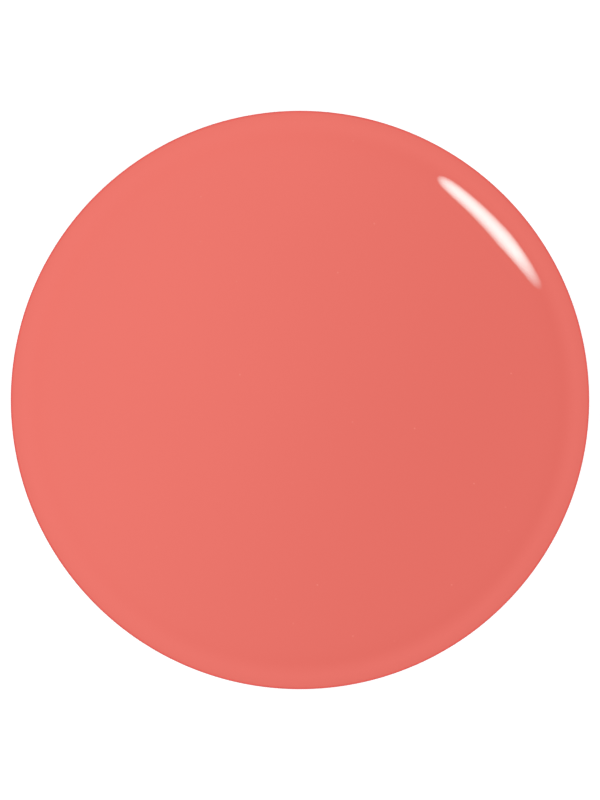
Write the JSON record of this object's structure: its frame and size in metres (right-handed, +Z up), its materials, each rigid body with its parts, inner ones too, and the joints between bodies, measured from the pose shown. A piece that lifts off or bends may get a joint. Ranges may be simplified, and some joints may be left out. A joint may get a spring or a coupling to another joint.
{
  "type": "nail polish bottle",
  "caption": "Round nail polish bottle of clear glass with a screw-on brush cap, a pull-off over-cap and a domed coral shade button on top.",
  "frame": {"origin": "centre of the base, on the plane that the bottle stands on", "axes": "+Z up along the bottle's axis, from the base to the shade button; the body is round, so +X and +Y are free choices, and the thread starts at +X"},
  "size_m": [0.0302, 0.0302, 0.0779],
  "materials": {
    "clear_glass": "polished",
    "coral_lacquer": "gloss",
    "steel": "satin",
    "label_film": "matte",
    "seal_foam": "matte",
    "stem_plastic": "satin",
    "bristle_nylon": "satin",
    "cap_plastic": "satin",
    "sleeve_plastic": "satin",
    "shell_plastic": "gloss"
  },
  "bodies": {
    "bottle": {"glass_bottle": "clear_glass", "nail_lacquer": "coral_lacquer", "mixing_ball_1": "steel", "mixing_ball_2": "steel", "base_label": "label_film"},
    "seal": {"lip_seal": "seal_foam"},
    "screw_cap": {"inner_cap": "cap_plastic", "brush_stem": "stem_plastic", "brush_staple": "steel", "brush_bristles": "bristle_nylon"},
    "overcap": {"overcap_shell": "shell_plastic", "overcap_sleeve": "sleeve_plastic", "weight_ring": "steel", "shade_button": "shell_plastic", "shade_lacquer": "coral_lacquer"}
  },
  "joints": [
    {"name": "cap_rise", "type": "slide", "parent": "bottle", "child": "seal", "axis": [0, 0, 1], "range_m": [0, 0.05293]},
    {"name": "cap_turn", "type": "hinge", "parent": "seal", "child": "screw_cap", "pos_m": [0, 0, 0.05], "axis": [0, 0, 1], "range_deg": [0, 9000]},
    {"name": "overcap_pull", "type": "slide", "parent": "screw_cap", "child": "overcap", "axis": [0, 0, 1], "range_m": [0, 0.03]}
  ],
  "couplings": [
    {"joint": "cap_rise", "follows": "cap_turn", "m_per_rad": 0.00033693}
  ]
}
